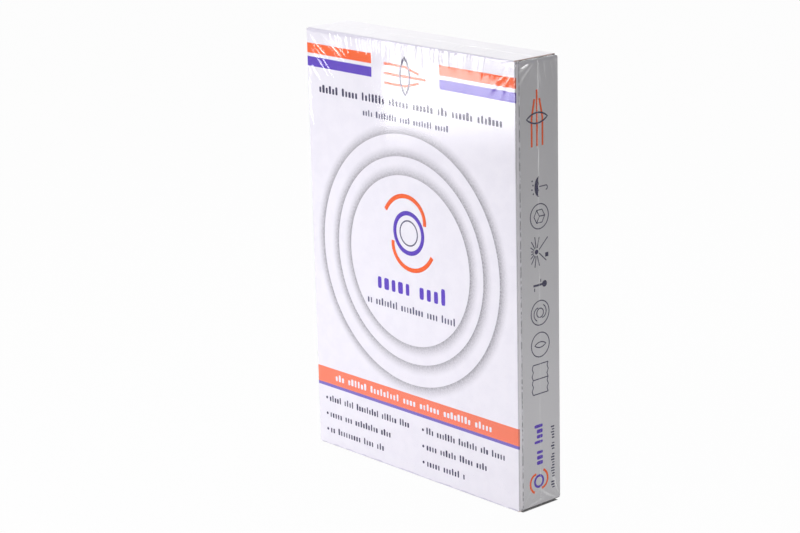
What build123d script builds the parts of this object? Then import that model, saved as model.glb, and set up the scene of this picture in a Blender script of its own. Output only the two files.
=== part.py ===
"""Folding carton, closed and sealed in shrink film.

The carton is one scored, folded and glued boxboard blank. It is filled and closed for good until the
film is cut, so it is one solid. The film is a thin closed skin, shrunk tight over the carton, with a
trim seal along two sides and small gathers where the spare film drew together.

Millimetres. The origin is the middle of the film's base, +Z is up and the front panel faces -Y.
"""

import os

from build123d import *

os.makedirs("parts", exist_ok=True)

# Carton
carton_width = 100.0  # across the front panel
carton_depth = 18.6  # front panel to back panel
carton_height = 148.0  # closure panel to closure panel
board = 0.45  # thickness of the boxboard
crease_radius = 0.4  # outside of a folded crease, which stays under the board's thickness
crease_limit = 0.95  # largest crease radius, in board thicknesses
glue_lap_reveal = 1.5  # strip of the glue lap that shows beside the right panel's cut edge
tuck_show = 0.15  # flat of the tuck flap that shows above the back panel's cut edge
dust_flap_ledge = 0.15  # flat of the dust flap that shows beyond a closure panel's cut end

# Film
film_thickness = 0.05
film_slack = 0.04  # between the film and the carton
film_corner_radius = 0.35  # inside radius over the carton's edges
seal_radius = 0.25  # molten bead of the trim seal

# Gathers in the film
pleat_width = 0.6
pleat_height = 0.2
pleat_crest = 0.3  # share of a pleat's length at which it stands highest
corner_pleat = 12.0  # length of the pleats that run out of an upper corner
filler_pleat = 6.5  # length of the pleats between them, and of all at the lower corners
edge_pleat = 4.0  # length of the pleats that hang from the upper edges
gather_inset = 2.0  # from the film's edges to the point that a gather's pleats fan out from
gather_start = 1.0  # from that point to the start of a pleat
gather_spread = 80.0  # degrees over which a corner's pleats fan out
upper_pleats = 5  # long pleats at an upper corner
lower_pleats = 3  # pleats at a lower corner
edge_pleat_pitch = 6.0
top_pleat_pitch = 5.0
top_pleat_lean = 20.0  # degrees by which the pleats on the top lean away from square to the seal

fold_radius = min(crease_radius, crease_limit * board)
film_skin = film_slack + film_thickness
middle = film_skin + carton_height / 2
film_width = carton_width + 2 * film_skin
film_depth = carton_depth + 2 * film_skin
film_height = carton_height + 2 * film_skin
film_outer_radius = film_corner_radius + film_thickness

plan = Plane.XY.offset(film_skin)
left_view = Plane((-carton_width / 2, 0, middle), x_dir=(0, 1, 0), z_dir=(1, 0, 0))
back_view = Plane((0, carton_depth / 2, middle), x_dir=(1, 0, 0), z_dir=(0, -1, 0))

# The carton is what its three outlines have in common, with every fold rounded.
with BuildPart() as carton:
    # Plan: four panels round the contents. The right panel's cut edge stops short of the front
    # crease, one board thickness above the glue lap that the front panel carries.
    with BuildSketch(plan):
        Rectangle(carton_width, carton_depth)
        with Locations((carton_width / 2, -carton_depth / 2)):
            Rectangle(board, glue_lap_reveal, align=(Align.MAX, Align.MIN), mode=Mode.SUBTRACT)
    extrude(amount=carton_height)

    # Seen from the left: both closure panels fold from the front panel, and their tuck flaps go down
    # inside the back panel, whose cut edges stop just short of those folds.
    tuck_drop = board + fold_radius + tuck_show
    with BuildSketch(left_view):
        with Locations((-board / 2, 0)):
            Rectangle(carton_depth - board, carton_height)
        Rectangle(carton_depth, carton_height - 2 * tuck_drop)
    extrude(amount=carton_width, mode=Mode.INTERSECT)

    # Seen from the back: a closure panel lies on the dust flaps that fold from the side panels, and
    # its cut ends stop short of those folds.
    closure_relief = board + fold_radius + dust_flap_ledge
    with BuildSketch(back_view):
        Rectangle(carton_width, carton_height - 2 * board)
        Rectangle(carton_width - 2 * closure_relief, carton_height)
    extrude(amount=carton_depth, mode=Mode.INTERSECT)

    closure_folds = carton.edges().filter_by(Axis.X).group_by(Axis.Z)
    side_edges = carton.edges().filter_by(Axis.Y).filter_by(lambda e: e.length > carton_depth / 2)
    dust_flap_folds = side_edges.group_by(Axis.X)
    upright_edges = carton.edges().filter_by(Axis.Z).filter_by(lambda e: e.length > carton_height / 2)
    upright_folds = upright_edges.group_by(Axis.Y)
    folds = closure_folds[0] + closure_folds[-1] + dust_flap_folds[0] + dust_flap_folds[-1]
    fillet(folds + upright_folds[0] + upright_folds[-1], fold_radius)


def film_pleat(length):
    """A slender fold along +X that rises out of the sheet and runs out to nothing at both ends."""
    with BuildPart() as pleat:
        with BuildSketch(Plane.YZ.offset(pleat_crest * length)) as crest:
            Polygon(
                (-pleat_width / 2, 0),
                (0, -pleat_height),
                (pleat_width / 2, 0),
                (0, pleat_height),
            )
        loft([Vertex(0, 0, 0), crest.sketch, Vertex(length, 0, 0)], ruled=True)
    return pleat.part


def gather(place, count, long_fold, short_fold):
    """Pleats that fan out from a place on the film about its X direction, long and short in turn."""
    step = gather_spread / (count - 1)
    with Locations(place):
        with PolarLocations(gather_start, count, -gather_spread / 2, gather_spread, endpoint=True):
            add(long_fold)
        short_spread = gather_spread - step
        with PolarLocations(gather_start, count - 1, -short_spread / 2, short_spread, endpoint=True):
            add(short_fold)


corner_fold = film_pleat(corner_pleat)
filler_fold = film_pleat(filler_pleat)
edge_fold = film_pleat(edge_pleat)

# The inside of the film, a little larger than the carton all round.
with BuildPart() as film_inside:
    with BuildSketch(Plane.XY.offset(film_thickness)):
        Rectangle(film_width - 2 * film_thickness, film_depth - 2 * film_thickness)
    extrude(amount=film_height - 2 * film_thickness)
    fillet(film_inside.edges(), film_corner_radius)

with BuildPart() as shrink_film:
    with BuildSketch():
        Rectangle(film_width, film_depth)
    extrude(amount=film_height)
    fillet(shrink_film.edges(), film_outer_radius)

    # Trim seal: a bead along the middle of the right side and of the top. The left side is the
    # film's own fold, and the seal under the base is pressed flat by the carton's weight.
    with BuildLine(Plane.XZ) as seal_line:
        FilletPolyline(
            (film_width / 2, 0),
            (film_width / 2, film_height),
            (-film_width / 2 + film_outer_radius, film_height),
            radius=film_outer_radius,
        )
    with BuildSketch(Plane.XY):
        with Locations((film_width / 2, 0)):
            Circle(seal_radius)
    sweep(path=seal_line.line)

    # Gathers on the front and back, out of each corner.
    lower_level = gather_inset
    upper_level = film_height - gather_inset
    for facing in (-1, 1):
        for side in (-1, 1):
            corner = (side * (film_width / 2 - gather_inset), facing * film_depth / 2)
            upper = Plane((*corner, upper_level), x_dir=(-side, 0, -1), z_dir=(0, facing, 0))
            lower = Plane((*corner, lower_level), x_dir=(-side, 0, 1), z_dir=(0, facing, 0))
            gather(upper, upper_pleats, corner_fold, filler_fold)
            gather(lower, lower_pleats, filler_fold, edge_fold)

    # Gathers on the sides, out of the ends of the seal and of the fold opposite.
    for side in (-1, 1):
        edge = (side * film_width / 2, 0)
        upper = Plane((*edge, upper_level), x_dir=(0, 0, -1), z_dir=(side, 0, 0))
        lower = Plane((*edge, lower_level), x_dir=(0, 0, 1), z_dir=(side, 0, 0))
        gather(upper, upper_pleats - 1, filler_fold, edge_fold)
        gather(lower, lower_pleats, edge_fold, edge_fold)

    # Short pleats that hang from the upper edges of the front and back, between the corners.
    hanging_span = film_width - 2 * (gather_inset + gather_start + corner_pleat)
    hanging_count = int(hanging_span / edge_pleat_pitch) + 1
    hanging_level = film_height - film_outer_radius
    for facing in (-1, 1):
        edge = (0, facing * film_depth / 2, hanging_level)
        with Locations(Plane(edge, x_dir=(0, 0, -1), z_dir=(0, facing, 0))):
            with GridLocations(edge_pleat_pitch, edge_pleat_pitch, 1, hanging_count):
                add(edge_fold)

    # Pleats on the top, drawn in on both sides of the seal.
    top_span = film_width - 2 * (gather_inset + edge_pleat)
    top_count = int(top_span / top_pleat_pitch) + 1
    for facing in (-1, 1):
        edge = (0, facing * 2 * seal_radius, film_height)
        with Locations(Plane(edge, x_dir=(0, facing, 0), z_dir=(0, 0, 1))):
            with GridLocations(top_pleat_pitch, top_pleat_pitch, 1, top_count):
                add(edge_fold, rotation=(0, 0, top_pleat_lean))

    add(film_inside.part, mode=Mode.SUBTRACT)

carton.part.label = "carton"
shrink_film.part.label = "shrink_film"

export_step(carton.part, "parts/carton.step")
export_step(shrink_film.part, "parts/shrink_film.step")
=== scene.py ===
"""The looks of a closed folding carton in clear shrink film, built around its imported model. Metres."""

import math

import bmesh
import bpy
from mathutils import Matrix, Vector


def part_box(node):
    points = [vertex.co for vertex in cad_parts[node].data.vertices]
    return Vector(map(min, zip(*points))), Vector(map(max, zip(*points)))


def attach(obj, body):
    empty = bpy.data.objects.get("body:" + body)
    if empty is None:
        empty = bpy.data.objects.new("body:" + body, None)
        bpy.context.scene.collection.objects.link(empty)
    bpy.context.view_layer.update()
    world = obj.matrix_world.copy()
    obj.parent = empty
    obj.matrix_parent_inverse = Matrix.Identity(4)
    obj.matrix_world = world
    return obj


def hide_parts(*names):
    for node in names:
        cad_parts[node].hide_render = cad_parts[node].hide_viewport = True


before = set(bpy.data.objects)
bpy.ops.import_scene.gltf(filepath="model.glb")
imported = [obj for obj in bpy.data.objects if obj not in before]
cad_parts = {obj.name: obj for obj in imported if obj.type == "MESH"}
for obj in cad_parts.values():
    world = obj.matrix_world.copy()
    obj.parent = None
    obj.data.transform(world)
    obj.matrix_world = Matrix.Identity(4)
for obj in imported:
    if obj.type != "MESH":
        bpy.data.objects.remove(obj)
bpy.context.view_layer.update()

# Carton: one blank of white coated boxboard, die-cut, creased and glued down its right side, with a
# tuck closure at each end. It is printed in the flat, so its colours run on over the rounded folds,
# and its cut edges show the raw core of the board.
mm = 0.001
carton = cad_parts["carton"]
carton_low, carton_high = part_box("carton")
board_thickness = 0.45 * mm
closure_relief = 1.0 * mm  # from a side fold to the cut end of a closure panel
print_softness = 0.04 * mm
opening_middle = -0.9 * mm
upper_band_gap = 16.3 * mm  # half the opening between the two halves of the upper bands
upper_orange = (139.4 * mm, 142.8 * mm)
upper_purple = (134.9 * mm, 138.2 * mm)
lower_orange = (22.75 * mm, 28.6 * mm)
lower_purple = (21.65 * mm, 22.75 * mm)
disc_centre = Vector((-1.05 * mm, 74.95 * mm))
disc_radii = (42.8 * mm, 35.3 * mm, 29.0 * mm)
disc_shadow_width = 4.0 * mm
disc_shadow_lean = 0.4 * mm  # by which a shadow is wider on the right and narrower on the left
white_board = (0.885, 0.868, 0.900, 1)
grey_board = (0.862, 0.846, 0.882, 1)
# Painted shade: the grey of the right side panel, darker than the board, stands in for the side's shade.
painted_side_shade = (0.655, 0.646, 0.667, 1)
shadow_tint = (0.30, 0.288, 0.31, 1)
orange_ink = (0.98, 0.118, 0.006, 1)
# Painted reflection: the lower band's orange is the ink paled as the film's mirroring of the white floor
# would pale it.
orange_ink_with_painted_reflection = (0.95, 0.215, 0.115, 1)
purple_ink = (0.092, 0.032, 0.49, 1)
# Painted reflection: the lower stripe's purple is the ink paled in the same way.
purple_ink_with_painted_reflection = (0.195, 0.145, 0.53, 1)
raw_board = (0.95, 0.70, 0.64, 1)
# Painted shade: the grey laid along the folds.
fold_shade_grey = (0.46, 0.43, 0.57, 1)
# Painted shade: the dark grey laid in the slits, the gaps and beside the glue lap.
gap_shade_grey = (0.10, 0.10, 0.11, 1)

linkable = (bpy.types.NodeSocket, bpy.types.Node)


def feed(source, target):
    """Links a socket, or a node's first output, to an input."""
    start = source.outputs[0] if isinstance(source, bpy.types.Node) else source
    target.id_data.links.new(start, target)


def node(tree, kind, values=None, **settings):
    """Adds a node. Its inputs, by name or number, are plain values, or sockets or nodes to link from."""
    made = tree.nodes.new(kind)
    for name, setting in settings.items():
        setattr(made, name, setting)
    for key, value in (values or {}).items():
        if isinstance(value, linkable):
            feed(value, made.inputs[key])
        else:
            made.inputs[key].default_value = value
    return made


def calc(operation, *values):
    """The result of a Math node in the tree that its values come from."""
    tree = next(value.id_data for value in values if isinstance(value, linkable))
    return node(tree, "ShaderNodeMath", dict(enumerate(values)), operation=operation).outputs[0]


def minus(value, other):
    """One value less another."""
    return calc("SUBTRACT", value, other)


def combined(operation, first, *others):
    """Several values taken together, one after another, by one operation."""
    for other in others:
        first = calc(operation, first, other)
    return first


def times(*values):
    """Several values multiplied together."""
    return combined("MULTIPLY", *values)


def ease(value, low, high, start=0.0, end=1.0):
    """Goes smoothly from start to end while the value goes from low to high."""
    span = {"Value": value, "From Min": low, "From Max": high, "To Min": start, "To Max": end}
    return node(value.id_data, "ShaderNodeMapRange", span, interpolation_type="SMOOTHSTEP").outputs[0]


def overlay(amount, under, over):
    """One colour laid on another, by an amount from 0 to 1. The colours are sockets 6, 7 and 2."""
    values = {0: amount, 6: under, 7: over}
    return node(amount.id_data, "ShaderNodeMix", values, data_type="RGBA").outputs[2]


def parts_of(vector):
    """The three numbers of a vector."""
    return node(vector.id_data, "ShaderNodeSeparateXYZ", {0: vector}).outputs


def group_tree(name, kind, inputs, outputs):
    """An empty node group with named inputs and outputs, and the sockets inside it."""
    tree = bpy.data.node_groups.new(name, kind)
    for in_out, sockets in (("INPUT", inputs), ("OUTPUT", outputs)):
        for label, socket_type in sockets.items():
            tree.interface.new_socket(label, in_out=in_out, socket_type="NodeSocket" + socket_type)
    return tree, tree.nodes.new("NodeGroupInput").outputs, tree.nodes.new("NodeGroupOutput").inputs


def new_material(name):
    """A material with its tree, its Principled shader and the place on the piece."""
    material = bpy.data.materials.new(name)
    material.use_nodes = True
    tree = material.node_tree
    place = node(tree, "ShaderNodeTexCoord").outputs["Object"]
    return material, tree, tree.nodes["Principled BSDF"], place


# A printed field: 1 between two heights, from a distance off the middle outwards, and 0 elsewhere.
field_sizes = dict.fromkeys(("Across", "Up", "From", "Low", "High"), "Float")
print_field, given, result = group_tree("print_field", "ShaderNodeTree", field_sizes, {"Mask": "Float"})
limits = (("Across", "From"), ("Up", "Low"), ("High", "Up"))
inside = combined("MINIMUM", *(minus(given[far], given[near]) for far, near in limits))
feed(ease(inside, -print_softness, print_softness), result["Mask"])

# Ink lies unevenly on the board: slow drifts of density, fine mottle and a grain of its own.
ink_mottle, given, result = group_tree(
    "ink_mottle",
    "ShaderNodeTree",
    {"Place": "Vector", "Ink": "Color", "Unevenness": "Float"},
    {"Color": "Color", "Roughness": "Float", "Grain": "Float"},
)
tree = ink_mottle
drift = node(tree, "ShaderNodeTexNoise", {"Vector": given["Place"], "Scale": 90.0, "Detail": 2.0})
mottle = node(tree, "ShaderNodeTexNoise", {"Vector": given["Place"], "Scale": 1700.0, "Detail": 3.0})
density = calc("ADD", drift, mottle)
shade = times(minus(density, 1.0), given["Unevenness"])
gain = calc("ADD", shade, 1.0)
tinted = node(tree, "ShaderNodeVectorMath", {0: given["Ink"], "Scale": gain}, operation="SCALE")
feed(tinted, result["Color"])
feed(ease(mottle, 0.3, 0.7, 0.42, 0.55), result["Roughness"])
feed(mottle, result["Grain"])

# The board and its inks lie under the film, which does the shining, so their own gloss is slight.
under_film_gloss = 0.12
board, tree, shader, place = new_material("printed_board")
shader.inputs["Specular IOR Level"].default_value = under_film_gloss
x, y, z = parts_of(place)
normal = node(tree, "ShaderNodeTexCoord").outputs["Normal"]
face_x, face_y, face_z = (calc("ABSOLUTE", side) for side in parts_of(normal))
both_sides = calc("ABSOLUTE", x)
on_front = calc("LESS_THAN", y, carton_low.y + board_thickness)
fibre = node(tree, "ShaderNodeTexNoise", {"Vector": place, "Scale": 260.0, "Detail": 4.0})
speckle = node(tree, "ShaderNodeTexNoise", {"Vector": place, "Scale": 1500.0, "Detail": 2.0})
colour = overlay(ease(fibre, 0.35, 0.65), white_board, grey_board)
# Painted shade: the right panel, short of its glue lap, is laid in a grey darker than the board, so that the
# lap beside it looks lighter.
right_panel = calc("GREATER_THAN", x, carton_high.x - board_thickness / 2)
colour = overlay(times(right_panel, ease(face_x, 0.1, 0.5)), colour, painted_side_shade)

# Three stacked discs, each with a soft printed shadow round it, in a grainy halftone.
aside = minus(x, disc_centre.x)
over = minus(z, disc_centre.y)
squares = calc("ADD", times(aside, aside), times(over, over))
from_centre = calc("SQRT", squares)
to_right = calc("DIVIDE", aside, from_centre)
reach = calc("MULTIPLY_ADD", to_right, disc_shadow_lean, disc_shadow_width)
darkness = ease(calc("ABSOLUTE", to_right), 0.2, 1.0, 0.78, 0.95)
halftone = ease(speckle, 0.3, 0.7, 0.75, 1.2)
for disc_radius in disc_radii:
    beyond = minus(from_centre, disc_radius)
    outside = ease(beyond, -print_softness, print_softness)
    nearness = minus(1.0, calc("DIVIDE", beyond, reach))
    fade = calc("POWER", calc("MAXIMUM", nearness, 0.0), 1.5)
    shadow = times(outside, fade, darkness, halftone, on_front)
    colour = overlay(calc("MINIMUM", shadow, 1.0), colour, shadow_tint)

# Colour bands across the front: an upper pair that leaves an opening in the middle, and a lower pair whose
# inks are paled by a painted reflection of the white floor in the film.
off_middle = calc("ABSOLUTE", minus(x, opening_middle))
for (low, high), opening, ink in (
    (upper_orange, upper_band_gap, orange_ink),
    (upper_purple, upper_band_gap, purple_ink),
    (lower_orange, -mm, orange_ink_with_painted_reflection),
    (lower_purple, -mm, purple_ink_with_painted_reflection),
):
    spread = {"Across": off_middle, "Up": z, "From": opening, "Low": low, "High": high}
    field = node(tree, "ShaderNodeGroup", spread, node_tree=print_field)
    lay = {"Place": place, "Ink": ink, "Unevenness": 0.10}
    printed = node(tree, "ShaderNodeGroup", lay, node_tree=ink_mottle)
    colour = overlay(times(field.outputs["Mask"], on_front), colour, printed.outputs["Color"])

# Creases: painted shade, a soft grey line along the rounded folds at the ends of the panels, where they turn
# away from the light.
fold_shade_width = 1.3 * mm
to_top = minus(carton_high.z, z)
to_base = minus(z, carton_low.z)
to_end = calc("MINIMUM", to_top, to_base)
upright = calc("LESS_THAN", face_z, 0.9)
ragged = times(minus(fibre, 0.5), fold_shade_width)
below_fold, above_fold = (calc("ADD", end, ragged) for end in (to_top, to_base))
top_fold_shade = ease(below_fold, 0.8 * fold_shade_width, 1.25 * fold_shade_width, 0.25, 0.0)
base_fold_shade = ease(above_fold, 0.2 * fold_shade_width, 0.6 * fold_shade_width, 0.6, 0.0)
creased = times(calc("MAXIMUM", top_fold_shade, base_fold_shade), upright)
colour = overlay(creased, colour, fold_shade_grey)

# Cut edges show the raw core: the ends of the closure panels and the back panel's edges.
near_end = calc("LESS_THAN", to_end, 0.8 * board_thickness)
past_closure = minus(both_sides, carton_high.x - closure_relief)
closure_end = calc("LESS_THAN", past_closure, closure_relief / 4)
closure_end = times(near_end, closure_end, ease(face_x, 0.8, 0.95))
inner_edge = calc("GREATER_THAN", to_end, 1.5 * board_thickness)
back_edge = times(ease(face_z, 0.8, 0.95), inner_edge)
colour = overlay(calc("MAXIMUM", closure_end, back_edge), colour, raw_board)

# Painted shade in dark broken lines: in the slits beside the closure panels' ends, in the gap under the side
# panels, and on the right panel's cut edge beside the glue lap. The fold that the lap hangs from gets
# painted shade too.
broken = node(tree, "ShaderNodeTexNoise", {"Vector": place, "Scale": 620.0, "Detail": 1.0})
dashes = ease(broken, 0.42, 0.54, 0.1, 1.0)
in_slit = ease(past_closure, 0.6 * closure_relief, 0.95 * closure_relief, 1.0, 0.0)
beyond_panel = calc("GREATER_THAN", past_closure, -0.1 * closure_relief)
under_edge = calc("GREATER_THAN", to_end, 0.8 * board_thickness)
above_side = calc("LESS_THAN", to_end, 2 * board_thickness)
behind_front = minus(1.0, on_front)
ledge = times(beyond_panel, under_edge, above_side, behind_front)
# Painted shade: the ledges beside the closure panels' ends take the same painted grey as the side.
colour = overlay(ledge, colour, painted_side_shade)
slit = times(in_slit, ledge, dashes)
base_gap = ease(to_base, 1.3 * board_thickness, 2.0 * board_thickness, 0.95, 0.0)
past_lap = ease(y, carton_low.y + mm, carton_low.y + 2 * mm)
base_gap = times(base_gap, ease(face_x, 0.1, 0.4), past_lap)
beside_lap = times(
    ease(face_y, 0.8, 0.95),
    calc("GREATER_THAN", y, carton_low.y + board_thickness),
    calc("LESS_THAN", y, 0.0),
    ease(broken, 0.36, 0.56, 0.1, 0.6),
)
lap_fold = times(
    ease(times(face_x, face_y), 0.1, 0.4, 0.0, 0.35),
    calc("LESS_THAN", y, 0.0),
    calc("GREATER_THAN", x, 0.0),
)
# All these dark lines are painted shade.
painted_shade_lines = combined("MAXIMUM", slit, base_gap, beside_lap, lap_fold)
colour = overlay(painted_shade_lines, colour, gap_shade_grey)

feed(colour, shader.inputs["Base Color"])
feed(ease(fibre, 0.3, 0.7, 0.45, 0.6), shader.inputs["Roughness"])
grain = node(tree, "ShaderNodeBump", {"Height": fibre, "Strength": 0.12, "Distance": 0.02 * mm})
feed(grain, shader.inputs["Normal"])
carton.data.materials.clear()
carton.data.materials.append(board)

# Printed lines of copy: flat ink on the board, set in rows. Each row is plain upright bars of letter
# size in groups of word length, so that it has the weight of a line of print and spells nothing.
ink_thickness = 0.02 * mm
navy_ink = (0.030, 0.024, 0.075, 1)
slate_ink = (0.085, 0.08, 0.15, 1)
white_ink = (0.90, 0.88, 0.92, 1)
front_panel = Matrix(((1, 0, 0, 0), (0, 0, -1, carton_low.y), (0, 1, 0, 0), (0, 0, 0, 1)))
side_panel = Matrix(((0, 0, 1, carton_high.x), (0, -1, 0, 0), (1, 0, 0, 0), (0, 0, 0, 1)))


def mesh_tree(name, material, sizes, seeds=()):
    """A Geometry Nodes tree from a start mesh to a mesh, with named sizes, seeds and a material."""
    inputs = {"Geometry": "Geometry", **dict.fromkeys(sizes, "Float"), **dict.fromkeys(seeds, "Int")}
    inputs[material] = "Material"
    return group_tree(name, "GeometryNodeTree", inputs, {"Geometry": "Geometry"})


def finish_tree(tree, made, material, result):
    """Ends a tree: all that it made is one plain mesh of one material."""
    whole = node(tree, "GeometryNodeRealizeInstances", {0: made})
    covered = node(tree, "GeometryNodeSetMaterial", {0: whole, "Material": material})
    feed(covered, result["Geometry"])


def draw(low, high, seed, ident=None):
    """A random number for each point or each identity. Sockets 2 and 3 are its range and 7 its identity."""
    values = {2: low, 3: high, 8: seed}
    if ident is not None:
        values[7] = ident
    return node(seed.id_data, "FunctionNodeRandomValue", values, data_type="FLOAT").outputs[1]


row_sizes = ("Row Length", "Letter Height", "Pitch", "Boldness", "Word Length", "Ink Thickness")
letter_row, given, result = mesh_tree("letter_row", "Ink", row_sizes, ("Seed",))
tree = letter_row
tall_share = 0.34
short_height = 0.72  # of a tall letter's height
word_length = 7.0  # letters, with the gap after them
count = calc("FLOOR", calc("DIVIDE", given["Row Length"], given["Pitch"]))
spread_pitch = calc("DIVIDE", given["Row Length"], count)
step = node(tree, "ShaderNodeCombineXYZ", {"X": spread_pitch})
first = node(tree, "ShaderNodeVectorMath", {0: step, "Scale": 0.5}, operation="SCALE")
row = {"Count": count, "Start Location": first, "Offset": step}
places = node(tree, "GeometryNodeMeshLine", row, mode="OFFSET")
letter = node(tree, "GeometryNodeInputIndex")
word = calc("FLOOR", calc("DIVIDE", letter, given["Word Length"]))
word_end = calc("ADD", word, draw(0.3, 0.99, given["Seed"], word))
last_letter = calc("FLOOR", times(word_end, given["Word Length"]))
gap_here = calc("COMPARE", letter, last_letter, 0.5)
letters = node(tree, "GeometryNodeDeleteGeometry", {0: places, 1: gap_here})
outline = node(tree, "GeometryNodeCurvePrimitiveQuadrilateral", {"Width": 1.0, "Height": 1.0})
corners = {"Curve": outline, "Count": 3, "Radius": 0.22}
rounded = node(tree, "GeometryNodeFilletCurve", corners, mode="POLY")
flat = node(tree, "GeometryNodeFillCurve", {0: rounded}, mode="NGONS")
lift = node(tree, "ShaderNodeCombineXYZ", {"Y": 0.5})
on_line = node(tree, "GeometryNodeTransform", {"Geometry": flat, "Translation": lift})
thickness = {"Mesh": on_line, "Offset Scale": given["Ink Thickness"]}
raised = node(tree, "GeometryNodeExtrudeMesh", thickness)
underside = node(tree, "GeometryNodeFlipFaces", {0: on_line})
halves = node(tree, "GeometryNodeJoinGeometry")
for half in (raised, underside):
    feed(half, halves.inputs[0])
bar = node(tree, "GeometryNodeMergeByDistance", {0: halves, "Distance": 0.001 * mm})
tallness = draw(0.0, 1.0, calc("ADD", given["Seed"], 1.0))
tall = calc("LESS_THAN", tallness, tall_share)
bar_height = times(given["Letter Height"], ease(tall, 0.0, 1.0, short_height, 1.0))
bar_share = draw(0.62, 1.0, calc("ADD", given["Seed"], 2.0))
bar_width = times(bar_share, given["Boldness"], given["Pitch"])
bar_size = node(tree, "ShaderNodeCombineXYZ", {"X": bar_width, "Y": bar_height, "Z": 1.0})
setting = {"Points": letters, "Instance": bar, "Scale": bar_size}
set_row = node(tree, "GeometryNodeInstanceOnPoints", setting)
finish_tree(tree, set_row, given["Ink"], result)


def put(name, data):
    """A new object in the scene."""
    made = bpy.data.objects.new(name, data)
    bpy.context.scene.collection.objects.link(made)
    return made


def grow(tree, start, **inputs):
    """The plain mesh that a Geometry Nodes tree makes from a start mesh and its named inputs."""
    carrier = put(tree.name, start)
    modifier = carrier.modifiers.new(tree.name, "NODES")
    modifier.node_group = tree
    for socket in tree.interface.items_tree:
        key = socket.name.replace(" ", "_").lower()
        if socket.in_out == "INPUT" and key in inputs:
            modifier[socket.identifier] = inputs[key]
    depsgraph = bpy.context.evaluated_depsgraph_get()
    evaluated = carrier.evaluated_get(depsgraph)
    made = bpy.data.meshes.new_from_object(evaluated, preserve_all_data_layers=True, depsgraph=depsgraph)
    bpy.data.objects.remove(carrier)
    return made


def piece(name, mesh):
    """A finished mesh as a piece that moves with the carton."""
    made = put(name, mesh)
    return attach(made, "root")


def plain_mesh(name, shape):
    """The mesh of a shape that is done with."""
    mesh = bpy.data.meshes.new(name)
    shape.to_mesh(mesh)
    shape.free()
    return mesh


def print_piece(name, ink, *meshes):
    """Joins the meshes of one ink into one piece."""
    joined = bmesh.new()
    for mesh in meshes:
        joined.from_mesh(mesh)
    for face in joined.faces:
        face.material_index = 0
    mesh = plain_mesh(name, joined)
    mesh.materials.append(ink)
    piece(name, mesh)


def ink_material(name, ink, unevenness):
    """Printing ink: its colour, a little uneven, with the grain of the board under it."""
    material, tree, shader, place = new_material(name)
    shader.inputs["Specular IOR Level"].default_value = under_film_gloss
    values = {"Place": place, "Ink": ink, "Unevenness": unevenness}
    mottled = node(tree, "ShaderNodeGroup", values, node_tree=ink_mottle)
    feed(mottled.outputs["Color"], shader.inputs["Base Color"])
    feed(mottled.outputs["Roughness"], shader.inputs["Roughness"])
    height = {"Height": mottled.outputs["Grain"], "Strength": 0.1, "Distance": 0.01 * mm}
    feed(node(tree, "ShaderNodeBump", height), shader.inputs["Normal"])
    return material


def copy_row(panel, ink, left, right, base, height, pitch, boldness, seed):
    """A row of letter bars on a panel, from left to right, standing on its base line."""
    mesh = grow(
        letter_row,
        bpy.data.meshes.new("row"),
        row_length=(right - left) * mm,
        letter_height=height * mm,
        pitch=pitch * mm,
        boldness=boldness,
        word_length=word_length,
        ink_thickness=ink_thickness,
        seed=seed,
        ink=ink,
    )
    mesh.transform(panel @ Matrix.Translation((left * mm, base * mm, 0)))
    return mesh


def filled(panel, centre, outline):
    """A patch of ink on a panel with an outline about a centre."""
    patch = bmesh.new()
    across, up = centre
    corners = [patch.verts.new(((across + u) * mm, (up + v) * mm, ink_thickness)) for u, v in outline]
    face = patch.faces.new(corners)
    lower = bmesh.ops.extrude_face_region(patch, geom=[face], use_keep_orig=True)["geom"]
    under = [v for v in lower if isinstance(v, bmesh.types.BMVert)]
    bmesh.ops.translate(patch, verts=under, vec=(0, 0, -ink_thickness))
    bmesh.ops.recalc_face_normals(patch, faces=patch.faces)
    bmesh.ops.transform(patch, matrix=panel, verts=patch.verts)
    return plain_mesh("patch", patch)


def polygon(radius, sides, start=0.0):
    """The corners of a regular polygon about the centre, from a start angle in degrees."""
    turns = [math.radians(start + 360 * k / sides) for k in range(sides)]
    return [(radius * math.cos(a), radius * math.sin(a)) for a in turns]


def bullet(panel, across, up, radius):
    """A printed dot."""
    return filled(panel, (across, up), polygon(radius, sides=16))


navy = ink_material("navy_ink", navy_ink, 0.5)
slate = ink_material("slate_ink", slate_ink, 0.5)
white = ink_material("white_ink", white_ink, 0.06)
for name, ink, left, right, base, height, pitch, boldness, seed in (
    ("heading_print", navy, -44.4, 44.0, 126.4, 2.7, 1.65, 0.74, 3),
    ("subheading_print", slate, -22.3, 20.6, 121.4, 2.15, 1.3, 0.66, 5),
    ("band_print", white, -40.8, 37.4, 24.5, 2.4, 1.65, 0.70, 8),
):
    row = copy_row(front_panel, ink, left, right, base, height, pitch, boldness, seed)
    print_piece(name, ink, row)
feature_size = {"height": 2.35, "pitch": 1.3, "boldness": 0.68}
dot_lift, dot_radius = 1.1, 0.5
feature_rows = []
for first_letter, dot, rows in (
    (-44.3, -45.5, ((-2.7, 16.25), (-12.2, 10.4), (-15.9, 4.65))),
    (5.4, 4.0, ((43.3, 16.25), (34.8, 10.45), (24.3, 4.7))),
):
    for last_letter, base in rows:
        seed = 11 + len(feature_rows)
        row = copy_row(front_panel, navy, first_letter, last_letter, base, seed=seed, **feature_size)
        feature_rows.append(row)
        feature_rows.append(bullet(front_panel, dot, base + dot_lift, dot_radius))
print_piece("feature_print", navy, *feature_rows)

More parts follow.
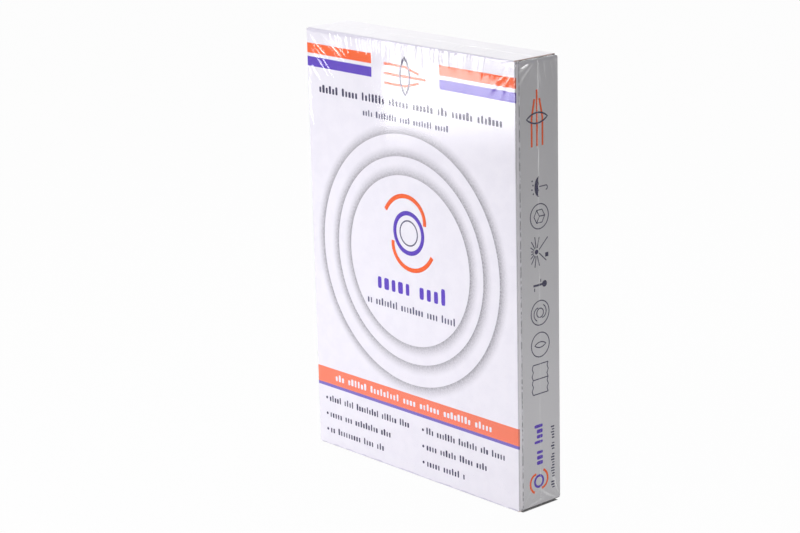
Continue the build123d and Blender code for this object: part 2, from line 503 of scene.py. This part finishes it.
# Marks: simple line figures in flat ink. The front has a lens seen from above, its optic a ring with
# two sprung loops, and between the upper bands a lens seen edge on with three rays through it.
ink_line, given, result = mesh_tree("ink_line", "Ink", ("Line Width", "Ink Thickness"))
tree = ink_line
path = node(tree, "GeometryNodeMeshToCurve", {0: given["Geometry"]})
level = node(tree, "GeometryNodeSetCurveNormal", {"Curve": path}, mode="Z_UP")
ribbon_size = {"Width": given["Line Width"], "Height": given["Ink Thickness"]}
section = node(tree, "GeometryNodeCurvePrimitiveQuadrilateral", ribbon_size)
swept = {"Curve": level, "Profile Curve": section, "Fill Caps": True}
ribbon = node(tree, "GeometryNodeCurveToMesh", swept)
finish_tree(tree, ribbon, given["Ink"], result)


def arc(across, up, radius, start, end, squash=1.0):
    """Points on an arc, from a start to an end angle in degrees."""
    steps = max(4, round(abs(end - start) / 7.5))
    turns = [math.radians(start + (end - start) * i / steps) for i in range(steps + 1)]
    return [(across + radius * math.cos(a), up + squash * radius * math.sin(a)) for a in turns]


def drawn(panel, ink, width, centre, lines, rings=(), layers=1):
    """Ink lines on a panel about a centre: open lines and closed rings, each a list of points. A mark
    that is printed over others has more layers of ink."""
    points, edges = [], []
    for line, closed in [(line, False) for line in lines] + [(ring, True) for ring in rings]:
        ends = len(line) if closed else len(line) - 1
        edges += [(len(points) + i, len(points) + (i + 1) % len(line)) for i in range(ends)]
        points += [((centre[0] + u) * mm, (centre[1] + v) * mm, 0) for u, v in line]
    start = bpy.data.meshes.new("lines")
    start.from_pydata(points, edges, [])
    thickness = layers * ink_thickness
    mesh = grow(ink_line, start, line_width=width * mm, ink_thickness=thickness, ink=ink)
    mesh.transform(panel @ Matrix.Translation((0, 0, thickness / 2)))
    return mesh


def circle(radius):
    """A closed ring of points about the centre."""
    return polygon(radius, sides=48)


def loops(optic, clear):
    """The two sprung loops of a lens: each starts clear of the optic, swings out and runs on round it."""
    one = []
    steps, start, sweep = 16, 25, 125  # start and sweep in degrees
    spring = 0.62 * optic
    for k in range(steps + 1):
        along = k / steps
        turn = math.radians(start + sweep * along)
        reach = optic + clear + spring * (1 - (1 - along) ** 3)
        one.append((reach * math.cos(turn), reach * math.sin(turn)))
    return [one, [(-u, -v) for u, v in one]]


def rays(length, aperture):
    """Three rays that run level to a lens edge on, bend there and draw together beyond it."""
    run_on, closeness = 0.68 * length, 0.45
    outer = [[(-length, v), (0, v), (run_on, closeness * v)] for v in (-aperture, aperture)]
    return outer + [[(-length, 0), (length, 0)]]


def lens_section(height, bulge):
    """The outline of a lens edge on: two shallow arcs that meet at the tips."""
    radius = (height**2 + bulge**2) / (2 * bulge)
    half = math.degrees(math.asin(height / radius))
    right = arc(bulge - radius, 0, radius, -half, half)
    return right + [(-u, -v) for u, v in right[1:-1]]


orange = ink_material("orange_ink", orange_ink, 0.10)
purple = ink_material("purple_ink", purple_ink, 0.12)
grey_ink = (0.16, 0.15, 0.22, 1)
grey = ink_material("grey_ink", grey_ink, 0.2)
emblem = (-0.8, 84.6)
optic = 6.8
rim = 0.62 * optic
mark_line, ray_line, rim_line = 1.5, 0.9, 0.5
opening = (opening_middle / mm, 137.0)
print_piece(
    "front_orange_marks",
    orange,
    drawn(front_panel, orange, mark_line, emblem, loops(optic, clear=1.8)),
    drawn(front_panel, orange, ray_line, opening, rays(length=10.0, aperture=3.2)),
)
print_piece(
    "front_purple_marks",
    purple,
    drawn(front_panel, purple, mark_line, emblem, [], [circle(optic)]),
    copy_row(front_panel, purple, -17.6, 17.0, 63.0, height=5.6, pitch=3.2, boldness=0.78, seed=21),
)
print_piece(
    "front_slate_marks",
    slate,
    copy_row(front_panel, slate, -22.5, 21.0, 57.0, height=2.6, pitch=1.4, boldness=0.6, seed=24),
    drawn(front_panel, slate, rim_line, emblem, [], [circle(rim)]),
)
section = lens_section(height=6.2, bulge=2.3)
print_piece("front_grey_marks", grey, drawn(front_panel, grey, ray_line, opening, [], [section], layers=2))

# Side figures: the small line figures that packs of this kind carry down one side, printed in navy
# and turned a quarter, with their tops to the front: umbrella, parcel, sun and roof, gauge, two lenses in
# rings, and booklet.
figure_line, gauge_stem = 0.34, 0.7
figure_ring, small_optic = 4.05, 1.5
figure_level = -0.4  # the figures' middle, a little behind the middle of the side panel
umbrella, parcel, shelter, gauge, lens_plan, lens_edge, leaflet = (
    (height, figure_level) for height in (106.9, 97.3, 85.9, 74.9, 65.6, 55.0, 43.6)
)
sun = (shelter[0], 1.0)
scallops = [point for k in (1, 0, -1) for point in arc(2.2 * k, -0.1, 1.1, 0, 180, 0.45)]
canopy = arc(0, 0, 3.3, 180, 0, 0.62) + scallops[1:-1]
handle = [(0, 0)] + arc(-0.7, -3.0, 0.7, 0, -180)
drops = ((-2.0, 2.6), (-0.6, 3.2), (0.8, 2.7), (2.2, 3.1))
sun_rays, sun_ray_count = [], 10
for k in range(sun_ray_count):
    turn = math.radians(-15 + 210 * k / (sun_ray_count - 1))
    across, up = math.cos(turn), math.sin(turn)
    near, far = 1.3, 2.3 + 2.8 * across**2
    sun_rays.append([(near * across, near * up), (far * across, far * up)])
roof = [[(-3.5, -3.0), (-0.5, 0.3)], [(0.5, 0.3), (4.1, -3.7)]]
hut = [(-2.3, -3.9), (-0.9, -3.9), (-0.9, -2.5), (-2.3, -2.5)]
parcel_corners = polygon(2.4, sides=6, start=30)
parcel_folds = [[(0, 0), parcel_corners[k]] for k in (0, 2, 4)]
page = [(0, 0.3), (1.3, 0.8), (2.6, 0.2), (3.8, 0.7), (5.0, 0.3)]
wave = [(u - 5.0, v) for u, v in page] + page[1:]
leaflet_lines = [[(u, v + height) for u, v in wave] for height in (3.1, -3.7)]
leaflet_lines += [[(u, 3.4), (u, -3.4)] for u in (-5.0, 0.0, 5.0)]
gauge_ticks = [[(-1.9, 2.4), (-0.8, 2.4)], [(0.8, -0.4), (1.9, -0.4)]]


def figure(centre, lines, *rings):
    """Thin navy lines and rings on the side panel about a figure's centre."""
    return drawn(side_panel, navy, figure_line, centre, lines, rings)


side_figures = [
    filled(side_panel, umbrella, canopy),
    figure(umbrella, [handle]),
    figure(parcel, parcel_folds, circle(figure_ring), parcel_corners),
    bullet(side_panel, *sun, radius=0.8),
    figure(sun, sun_rays),
    figure(shelter, roof),
    filled(side_panel, shelter, hut),
    drawn(side_panel, navy, gauge_stem, gauge, [[(0, -1.3), (0, 2.9)]]),
    figure(gauge, gauge_ticks),
    bullet(side_panel, gauge[0], gauge[1] - 2.1, radius=1.1),
    figure(lens_plan, loops(small_optic, clear=0.4), circle(figure_ring), circle(small_optic)),
    figure(lens_edge, [], circle(figure_ring), lens_section(height=2.5, bulge=0.9)),
    figure(leaflet, leaflet_lines),
]
side_figures += [bullet(side_panel, umbrella[0] + u, umbrella[1] + v, radius=0.28) for u, v in drops]
side_opening = (129.0, 0.3)
side_emblem, side_optic = (8.8, 0.7), 1.9
side_mark_line, side_section_line = 0.8, 0.5
side_section = lens_section(height=4.6, bulge=1.7)
side_figures += [
    drawn(side_panel, navy, side_section_line, side_opening, [], [side_section], layers=2),
    copy_row(side_panel, navy, 4.6, 26.5, -6.5, height=1.6, pitch=0.95, boldness=0.6, seed=33),
]
print_piece("side_figures", navy, *side_figures)
print_piece(
    "side_orange_marks",
    orange,
    drawn(side_panel, orange, side_mark_line, side_opening, rays(length=9.0, aperture=2.4)),
    drawn(side_panel, orange, side_mark_line, side_emblem, loops(side_optic, clear=1.0)),
)
print_piece(
    "side_purple_marks",
    purple,
    copy_row(side_panel, purple, 14.2, 28.6, -1.1, height=3.7, pitch=1.75, boldness=0.78, seed=36),
    drawn(side_panel, purple, side_mark_line, side_emblem, [], [circle(side_optic)]),
)

# Shrink film: one web of clear film, folded round the carton, sealed and drawn tight by heat. Where
# there was film to spare it drew into fine pleats: under the upper edges, out of the corners and round
# the ends of the seal.
film_gap = Vector((1, 1, 1)) * 0.09 * mm  # slack and thickness, from the board to the film's outer face
film_low, film_high = carton_low - film_gap, carton_high + film_gap
film_radius = 0.4 * mm
film_cell = 2.0 * mm
film_ior = 1.36
square_on = 0.9  # least part of a face's direction at which it counts as facing a way


def lines_across(low, high):
    """Grid lines from low to high: close together round the folds, and a cell apart between them."""
    near, far = low + film_radius, high - film_radius
    cells = max(1, round((far - near) / film_cell))
    between = [near + (far - near) * i / cells for i in range(cells + 1)]
    turn = (0.0, 0.35 * film_radius)
    return [low + t for t in turn] + between + [high - t for t in reversed(turn)]


def film_skin():
    """A closed block of grid cells with rounded folds."""
    grid = [lines_across(film_low[axis], film_high[axis]) for axis in range(3)]
    last = [len(lines) - 1 for lines in grid]
    inset = Vector((1, 1, 1)) * film_radius
    core_low, core_high = film_low + inset, film_high - inset
    skin, corners = bmesh.new(), {}

    def corner(index):
        if index not in corners:
            point = Vector([grid[axis][index[axis]] for axis in range(3)])
            core = Vector([min(max(point[a], core_low[a]), core_high[a]) for a in range(3)])
            corners[index] = skin.verts.new(core + film_radius * (point - core).normalized())
        return corners[index]

    for axis in range(3):
        u, v = (axis + 1) % 3, (axis + 2) % 3
        for end in (0, last[axis]):
            for i in range(last[u]):
                for j in range(last[v]):
                    cell = []
                    for di, dj in ((0, 0), (1, 0), (1, 1), (0, 1)):
                        index = [0, 0, 0]
                        index[axis], index[u], index[v] = end, i + di, j + dj
                        cell.append(corner(tuple(index)))
                    skin.faces.new(cell if end else reversed(cell))
    return skin


def refine(skin, cuts, wanted):
    """Divides the cells whose middle, in millimetres, and facing are wanted."""
    skin.normal_update()
    edges = {e for f in skin.faces if wanted(f.calc_center_median() / mm, f.normal) for e in f.edges}
    bmesh.ops.subdivide_edges(skin, edges=list(edges), cuts=cuts, use_grid_fill=True)


# Cells are divided where pleats will rise: under the upper edges and over the lower corners.
skin = film_skin()
refine(skin, 8, lambda p, n: n.y < -square_on and (p.z > 131 or (p.x < -42 and p.z > 108)))
refine(skin, 4, lambda p, n: n.y > square_on and p.z > 134)
refine(skin, 4, lambda p, n: n.z > square_on)
refine(skin, 6, lambda p, n: n.x > square_on and (p.z > 128 or p.z < 18))
refine(skin, 4, lambda p, n: n.x < -square_on and (p.z > 134 or p.z < 14))
refine(skin, 4, lambda p, n: abs(n.y) > square_on and p.z < 12 and abs(p.x) > 38)
start = plain_mesh("film_start", skin)

# A row of pleats: each a low smooth ridge, with its own place, width, length and height. Some are missing.
pleat_sizes = ("Along", "Depth", "Pitch", "Width", "Length", "Height", "Lean")
pleat_inputs = {**dict.fromkeys(pleat_sizes, "Float"), "Seed": "Int"}
pleat_row, given, result = group_tree("pleat_row", "GeometryNodeTree", pleat_inputs, {"Rise": "Float"})
slid = minus(given["Along"], times(given["Lean"], given["Depth"]))
place_in_row = calc("DIVIDE", slid, given["Pitch"])
which = calc("FLOOR", place_in_row)
across = minus(place_in_row, which)


def vary(low, high, offset):
    """A number that differs from pleat to pleat."""
    return draw(low, high, calc("ADD", given["Seed"], offset), which)


off_centre = calc("ABSOLUTE", minus(across, vary(0.4, 0.6, 0.0)))
half_width = times(calc("DIVIDE", given["Width"], given["Pitch"]), vary(0.3, 0.5, 11.0))
crest = ease(calc("DIVIDE", off_centre, half_width), 0.0, 1.0, 1.0, 0.0)
set_in = times(given["Length"], vary(0.02, 0.12, 23.0))
reach = times(given["Length"], vary(0.55, 1.0, 37.0))
run = calc("DIVIDE", minus(given["Depth"], set_in), reach)
taper = times(ease(run, 0.0, 0.2), ease(run, 0.55, 1.0, 1.0, 0.0))
standing = calc("MAXIMUM", vary(-0.12, 1.0, 53.0), 0.0)
rise = times(crest, taper, given["Height"], standing)
feed(rise, result["Rise"])

# The gathers lift the skin in rows and fans of pleats, and note where the film lies double.
gathers, given, result = mesh_tree("film_gathers", "Film", ("Pleat Height", "Pleat Length", "Pleat Pitch"))
tree = gathers
px, py, pz = parts_of(node(tree, "GeometryNodeInputPosition"))
outward = node(tree, "GeometryNodeInputNormal")
nx, ny, nz = parts_of(outward)
below_top = minus(film_high.z, pz)
from_left = minus(px, film_low.x)
from_right = minus(film_high.x, px)
from_front = minus(py, film_low.y)
from_back = minus(film_high.y, py)
from_seal = calc("ABSOLUTE", py)
rises, clouds = [], []

# The pleats waver, and lie closer together in some places than in others.
drift = node(tree, "ShaderNodeTexNoise", {"Scale": 60.0, "Detail": 1.0})
waver = times(minus(drift, 0.5), 1.6)


def gather(facing, along, depth, pitch, width, length, height, seed, lean=0.0, where=1.0, cloud=1.0):
    """Adds a row of pleats to the film on the faces that point a given way, where it is wanted. Its cloud
    is how far its film lies double."""
    along = calc("ADD", along, times(waver, pitch))
    sizes = (along, depth, pitch, width, length, height, lean)
    values = {**dict(zip(pleat_sizes, sizes)), "Seed": seed}
    row = node(gathers, "GeometryNodeGroup", values, node_tree=pleat_row)
    rises.append(times(row, calc("GREATER_THAN", facing, square_on), where))
    clouds.append(times(rises[-1], cloud))


def fan(facing, across, up, pitch_degrees, length, height, seed, where=1.0, cloud=1.0):
    """Adds pleats that spread out from a point on a face."""
    squares = calc("ADD", times(across, across), times(up, up))
    angle = calc("ARCTAN2", across, up)
    pitch = math.radians(pitch_degrees)
    radius = calc("SQRT", squares)
    gather(facing, angle, radius, pitch, 0.9 * pitch, length, height, seed, 0.0, where, cloud)


height, length, pitch = given["Pleat Height"], given["Pleat Length"], given["Pleat Pitch"]
front, back = times(ny, -1.0), ny
right, left = nx, times(nx, -1.0)

# Short pleats hang like a comb from the upper edges. They lean outwards towards the corners.
comb_cloud = 0.1
towards_edge = times(px, 1.0 / film_high.x)
corner_lean = calc("POWER", times(towards_edge, -1.0), 3.0)
corner_reach = calc("POWER", calc("ABSOLUTE", towards_edge), 4.0)
hanging = calc("MULTIPLY_ADD", length, corner_reach, times(length, 1.55))
clear_of_left = ease(from_left, 9 * mm, 17 * mm)
comb_width = times(pitch, 0.95)
steep, sheer = times(height, 2.0), times(height, 3.2)
gather(front, px, below_top, pitch, comb_width, hanging, sheer, 1, corner_lean, clear_of_left, comb_cloud)
gather(back, px, below_top, pitch, comb_width, hanging, steep, 2, corner_lean, 1.0, comb_cloud)

# Long slanting pleats run out of the front's upper left corner and steepen as they go down. Short ones
# follow on down its left edge.
fall = calc("SQRT", times(below_top, 1 / mm))
slant = minus(px, times(fall, 5.7 * mm))
slant_depth = times(calc("MINIMUM", from_left, below_top), math.sqrt(2))
near_corner = times(
    ease(from_left, 14 * mm, 22 * mm, 1.0, 0.0),
    ease(below_top, 12 * mm, 20 * mm, 1.0, 0.0),
)
long_reach, broad_rise, tall = times(length, 4.8), times(height, 2.8), times(height, 1.8)
slant_pitch, slant_width = times(pitch, 1.9), times(pitch, 1.5)
gather(front, slant, slant_depth, slant_pitch, slant_width, long_reach, broad_rise, 3, 0.0, near_corner, 0.5)
edge_zone = times(ease(below_top, 8 * mm, 14 * mm), ease(pz, 108 * mm, 116 * mm))
gather(front, slant, slant_depth, pitch, comb_width, times(length, 0.9), tall, 5, 0.0, edge_zone, 0.2)

# Fans spread out of the other corners of the front and back, some of their folds broad.
fan_cloud = 0.4
for facing, seed in ((front, 4), (back, 8)):
    fan(facing, from_right, below_top, 6.0, times(length, 2.8), times(height, 1.4), seed, 1.0, fan_cloud)
    fan(facing, from_right, below_top, 17.0, times(length, 4.4), steep, seed + 40, 1.0, fan_cloud)
    for k, sideways in enumerate((from_left, from_right)):
        fan(facing, sideways, pz, 9.0, times(length, 2.4), times(height, 1.2), seed + 2 + k)
fan(back, from_left, below_top, 7.0, times(length, 2.6), times(height, 1.4), 9, 1.0, fan_cloud)

# On the sides they spread from the ends of the seal and of the fold opposite, hang beside them, and run
# up out of the lower corners.
under_edge = ease(below_top, 0.8 * mm, 2.5 * mm)
beside_seal = times(under_edge, ease(py, 0.0, 3 * mm))
fine, fine_width = times(pitch, 0.75), times(pitch, 0.7)
for facing, seed in ((right, 20), (left, 26)):
    fan(facing, py, below_top, 19.0, times(length, 3.4), times(height, 3.0), seed, under_edge)
    gather(facing, py, below_top, fine, fine_width, times(length, 2.4), steep, seed + 1, 0.2, beside_seal)
    for k, sideways in enumerate((from_front, from_back)):
        fan(facing, sideways, pz, 17.0, times(length, 3.2), steep, seed + 2 + k)

# On the top they run both ways from the seal and back from the front edge.
broad, broad_width = times(pitch, 1.5), times(pitch, 1.3)
top_cloud = 0.6
gather(nz, px, from_seal, broad, broad_width, times(length, 1.9), steep, 31, 0.45, 1.0, top_cloud)
gather(nz, px, from_front, times(pitch, 1.1), pitch, times(length, 0.9), height, 32, -0.2, 1.0, top_cloud)

# The film also rolls outwards just under the front and back edges of the top.
crest_drop, roll_foot = 1.9 * mm, 10 * mm  # below the top
to_crest = calc("MAXIMUM", minus(1.0, times(below_top, 1 / crest_drop)), 0.0)
upper_roll = minus(1.0, calc("POWER", to_crest, 2.0))
lower_roll = ease(below_top, crest_drop, roll_foot, 1.0, 0.0)
broad_face = calc("GREATER_THAN", calc("ABSOLUTE", ny), square_on)
roll = times(upper_roll, lower_roll, broad_face, times(height, 2.6))
rise = calc("ADD", combined("ADD", *rises), roll)
lifted = node(tree, "ShaderNodeVectorMath", {0: outward, "Scale": rise}, operation="SCALE")
pleated = node(tree, "GeometryNodeSetPosition", {"Geometry": given["Geometry"], "Offset": lifted})
layers = calc("DIVIDE", combined("ADD", *clouds), height)
doubled = {"Geometry": pleated, "Name": "gather", "Value": layers}
stored = node(tree, "GeometryNodeStoreNamedAttribute", doubled, data_type="FLOAT", domain="POINT")
smooth = node(tree, "GeometryNodeSetShadeSmooth", {0: stored})
finish_tree(tree, smooth, given["Film"], result)


def film_material(name, layers, haze, ripple):
    """Clear gloss film. The print shows straight through it, and its outer face mirrors the lights. A
    gather has more layers, which mirror more between them and cloud a little."""
    material, tree, shader, place = new_material(name)
    tree.nodes.remove(shader)
    ripples = node(tree, "ShaderNodeTexNoise", {"Vector": place, "Scale": 700.0, "Detail": 2.0})
    waves = {"Height": ripples, "Strength": ripple, "Distance": 0.01 * mm}
    normal = node(tree, "ShaderNodeBump", waves)
    mirror = node(tree, "ShaderNodeFresnel", {"IOR": film_ior, "Normal": normal})
    doubled = node(tree, "ShaderNodeAttribute", attribute_name="gather").outputs["Fac"]
    gathered = ease(doubled, 0.05, 2.0)
    stacked = times(mirror, ease(gathered, 0.0, 1.0, 1.0, layers))
    clouded = calc("ADD", stacked, times(gathered, haze))
    outside = minus(1.0, node(tree, "ShaderNodeNewGeometry").outputs["Backfacing"])
    amount = times(calc("MINIMUM", clouded, 1.0), outside)
    gloss = node(tree, "ShaderNodeBsdfGlossy", {"Color": (1, 1, 1, 1), "Roughness": 0.05, "Normal": normal})
    clear = node(tree, "ShaderNodeBsdfTransparent", {"Color": (1, 1, 1, 1)})
    mixed = node(tree, "ShaderNodeMixShader", {0: amount, 1: clear, 2: gloss})
    feed(mixed, tree.nodes["Material Output"].inputs["Surface"])
    return material


film = film_material("clear_film", layers=4.2, haze=0.10, ripple=0.14)
film_mesh = grow(
    gathers,
    start,
    pleat_height=0.065 * mm,
    pleat_length=4.8 * mm,
    pleat_pitch=1.4 * mm,
    film=film,
)
shrink_film = piece("shrink_film_skin", film_mesh)
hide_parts("shrink_film")

# Trim seal: the hot wire that cut the web welded its two layers into a fine bead, which runs up the
# middle of the right side and over the top, a little uneven along its length and cloudy.
seal_sizes = ("Bead Width", "Bead Height", "Wander", "Step")
trim_seal, given, result = mesh_tree("trim_seal", "Film", seal_sizes, ("Seed",))
tree = trim_seal
run = node(tree, "GeometryNodeMeshToCurve", {0: given["Geometry"]})
spacing = {"Curve": run, "Length": given["Step"]}
even = node(tree, "GeometryNodeResampleCurve", spacing, mode="LENGTH")
sway = times(draw(-1.0, 1.0, given["Seed"]), given["Wander"])
sideways = node(tree, "ShaderNodeCombineXYZ", {"Y": sway})
wavy = node(tree, "GeometryNodeSetPosition", {"Geometry": even, "Offset": sideways})
swell = draw(0.65, 1.1, calc("ADD", given["Seed"], 1.0))
beaded = node(tree, "GeometryNodeSetCurveRadius", {"Curve": wavy, "Radius": swell})
ring = node(tree, "GeometryNodeCurvePrimitiveCircle", {"Resolution": 8, "Radius": 0.5})
oval = node(tree, "ShaderNodeCombineXYZ", {"X": given["Bead Height"], "Y": given["Bead Width"], "Z": 1.0})
section = node(tree, "GeometryNodeTransform", {"Geometry": ring, "Scale": oval})
swept = {"Curve": beaded, "Profile Curve": section, "Fill Caps": True}
bead = node(tree, "GeometryNodeCurveToMesh", swept)
bead_level = parts_of(node(tree, "GeometryNodeInputPosition"))[2]
patches = node(tree, "ShaderNodeTexNoise", {"Scale": 160.0, "Detail": 2.0})
cloud = times(
    ease(bead_level, 0.66 * film_high.z, 0.84 * film_high.z, 1.0, 2.0),
    ease(patches, 0.40, 0.60, 0.3, 1.0),
)
full = {"Geometry": bead, "Name": "gather", "Value": cloud}
welded = node(tree, "GeometryNodeStoreNamedAttribute", full, data_type="FLOAT", domain="POINT")
finish_tree(tree, welded, given["Film"], result)

seal_foot = film_low.z + 0.5 * mm
seal_path = [(film_high.x, 0, seal_foot), (film_high.x, 0, film_high.z - film_radius)]
corner_steps = 4
for k in range(1, corner_steps + 1):
    turn = math.radians(90 * k / corner_steps)
    rounding = Vector((math.cos(turn), 0, math.sin(turn))) * film_radius
    seal_path.append(Vector((film_high.x - film_radius, 0, film_high.z - film_radius)) + rounding)
seal_path.append((film_low.x + film_radius, 0, film_high.z))
seal_start = bpy.data.meshes.new("seal_path")
seal_start.from_pydata(seal_path, [(k, k + 1) for k in range(len(seal_path) - 1)], [])
seal_mesh = grow(
    trim_seal,
    seal_start,
    bead_width=0.42 * mm,
    bead_height=0.26 * mm,
    wander=0.25 * mm,
    step=2.2 * mm,
    seed=4,
    film=film_material("welded_film", layers=3.0, haze=0.2, ripple=0.4),
)
seal = piece("film_seal", seal_mesh)

# Studio: a white sweep that the pack stands on and white all round. A low key and a weak fill light the
# front, a lamp overhead the top, and a low card the foot of the side. Two softboxes are there only for
# the film to mirror.
floor_half, floor_level = 3.0, -0.1 * mm
floor_mesh = bpy.data.meshes.new("floor")
floor_ways = ((-1, -1), (1, -1), (1, 1), (-1, 1))
floor_corners = [(floor_half * u, floor_half * v, floor_level) for u, v in floor_ways]
floor_mesh.from_pydata(floor_corners, [], [(0, 1, 2, 3)])
floor = put("floor", floor_mesh)


def seen_white(tree):
    """1 for the rays that show the surroundings: camera, mirror and see-through rays."""
    ray = node(tree, "ShaderNodeLightPath").outputs
    shown = (ray[kind] for kind in ("Is Camera Ray", "Is Glossy Ray", "Is Transmission Ray"))
    return combined("MAXIMUM", *shown)


paper, tree, shader, place = new_material("white_sweep")
tree.nodes.remove(shader)
soft = node(tree, "ShaderNodeBsdfDiffuse", {"Color": (0.62, 0.62, 0.62, 1)})
glow = node(tree, "ShaderNodeEmission", {"Color": (1, 1, 1, 1), "Strength": 1.0})
on_floor = parts_of(place)
past_side = minus(calc("ABSOLUTE", on_floor[0]), carton_high.x - 0.1 * mm)
past_face = minus(calc("ABSOLUTE", on_floor[1]), carton_high.y - 1.2 * mm)
clear_of_pack = ease(calc("MAXIMUM", past_side, past_face), -0.2 * mm, 0.2 * mm, 0.0, 0.975)
weight = times(seen_white(tree), clear_of_pack)
surface = node(tree, "ShaderNodeMixShader", {0: weight, 1: soft, 2: glow})
feed(surface, tree.nodes["Material Output"].inputs["Surface"])
floor_mesh.materials.append(paper)

world = bpy.data.worlds.new("studio")
bpy.context.scene.world = world
world.use_nodes = True
sky = world.node_tree
backdrop = sky.nodes["Background"]
feed(ease(seen_white(sky), 0.0, 1.0, 0.30, 1.0), backdrop.inputs["Strength"])
backdrop.inputs["Color"].default_value = (1, 1, 1, 1)


def softbox(name, stand, width, height, radiance, tint, mirrored, lights):
    """A flat light of a given brightness that shines along -Z of its own frame. It is mirrored by the film,
    or lights what is under it, or both."""
    lamp = bpy.data.lights.new(name, "AREA")
    lamp.shape = "RECTANGLE"
    lamp.size, lamp.size_y = width, height
    lamp.energy = radiance * math.pi * width * height
    lamp.color = tint
    made = put(name, lamp)
    made.matrix_world = stand
    made.visible_glossy, made.visible_diffuse = mirrored, lights
    return lamp


front_tint, top_tint, untinted = (1.0, 0.98, 1.08), (1.0, 0.99, 1.02), (1, 1, 1)
for name, place, aim, width, height, radiance, tint, mirrored, lights in (
    ("fill_light", (-0.55, -0.95, 0.55), (0, 0, 0.07), 0.7, 0.7, 1.55, front_tint, True, True),
    ("key_light", (-0.08, -0.28, 0.04), (-0.02, 0, 0.05), 0.2, 0.06, 11.0, front_tint, False, True),
    ("top_light", (-0.15, 0.10, 0.55), (0, 0, 0.148), 0.3, 0.2, 7.9, top_tint, False, True),
    ("side_card", (0.17, -0.03, 0.012), (0.05, -0.005, 0.015), 0.2, 0.022, 3.6, untinted, False, True),
    ("side_glint_light", (0.34, 0.26, 0.24), (0.05, 0, 0.13), 0.26, 0.18, 8.0, untinted, True, False),
):
    turn = (Vector(aim) - Vector(place)).to_track_quat("-Z", "Y")
    stand = Matrix.Translation(place) @ turn.to_matrix().to_4x4()
    softbox(name, stand, width, height, radiance, tint, mirrored, lights)

# The camera stands to the front right, a little above the pack, with a slight roll.
camera_azimuth, camera_elevation, camera_roll = (math.radians(a) for a in (48.14, 15.40, -1.428))
camera_distance = 768.3 * mm
aim_across, aim_up = -10.59 * mm, 71.84 * mm
picture_width, focal_length = 800, 2305  # pixels
swing = Matrix.Rotation(camera_azimuth, 4, "Z")
tilted = swing @ Matrix.Rotation(math.pi / 2 - camera_elevation, 4, "X")
camera_aim = swing @ Vector((aim_across, 0, aim_up))
camera_place = camera_aim + tilted @ Vector((0, 0, camera_distance))
lens = bpy.data.cameras.new("camera")
lens.sensor_width = 36.0
lens.lens = lens.sensor_width * focal_length / picture_width
lens.clip_start = 0.01
camera = put("camera", lens)
camera.matrix_world = Matrix.Translation(camera_place) @ tilted @ Matrix.Rotation(camera_roll, 4, "Z")
bpy.context.scene.camera = camera

# The glare softbox is set out from the corner of its image on the film: sight lines from the camera's
# own mirror image run through that corner and along the image's two edges to the light itself.
glare_corner, glare_upright, glare_level = (-10.0, 109.0), (-12.0, 141.0), (34.0, 115.0)
glare_distance = 0.34
glare_width, glare_height, glare_radiance = 0.18, 0.11, 12.4
glare_fade = 0.30  # share of the light's height over which its lower edge fades
mirrored_camera = Vector((camera_place.x, 2 * film_low.y - camera_place.y, camera_place.z))
sight, upright_sight, level_sight = (
    (Vector((u * mm, film_low.y, w * mm)) - mirrored_camera).normalized()
    for u, w in (glare_corner, glare_upright, glare_level)
)
upright_plane = sight.cross(upright_sight).normalized()
level_plane = sight.cross(level_sight).normalized()
rise_way = (Vector((0, 0, 1)) - upright_plane * upright_plane.z).normalized()
across_way = rise_way.cross(level_plane).normalized()
start_point = Vector((glare_corner[0] * mm, film_low.y, glare_corner[1] * mm)) + sight * glare_distance
box_middle = start_point + across_way * glare_width / 2 + rise_way * glare_height / 2
box_back = across_way.cross(rise_way)
box_axes = Matrix((across_way, rise_way, box_back)).transposed()
glare_stand = Matrix.Translation(box_middle) @ box_axes.to_4x4()
glare_size = (glare_width, glare_height, glare_radiance)
glare = softbox("glare_light", glare_stand, *glare_size, untinted, mirrored=True, lights=False)
glare.use_nodes = True
tree = glare.node_tree
on_box = parts_of(node(tree, "ShaderNodeNewGeometry").outputs["Parametric"])
feed(ease(on_box[1], 0.0, glare_fade), tree.nodes["Emission"].inputs["Strength"])
bpy.context.scene.view_settings.view_transform = "Standard"
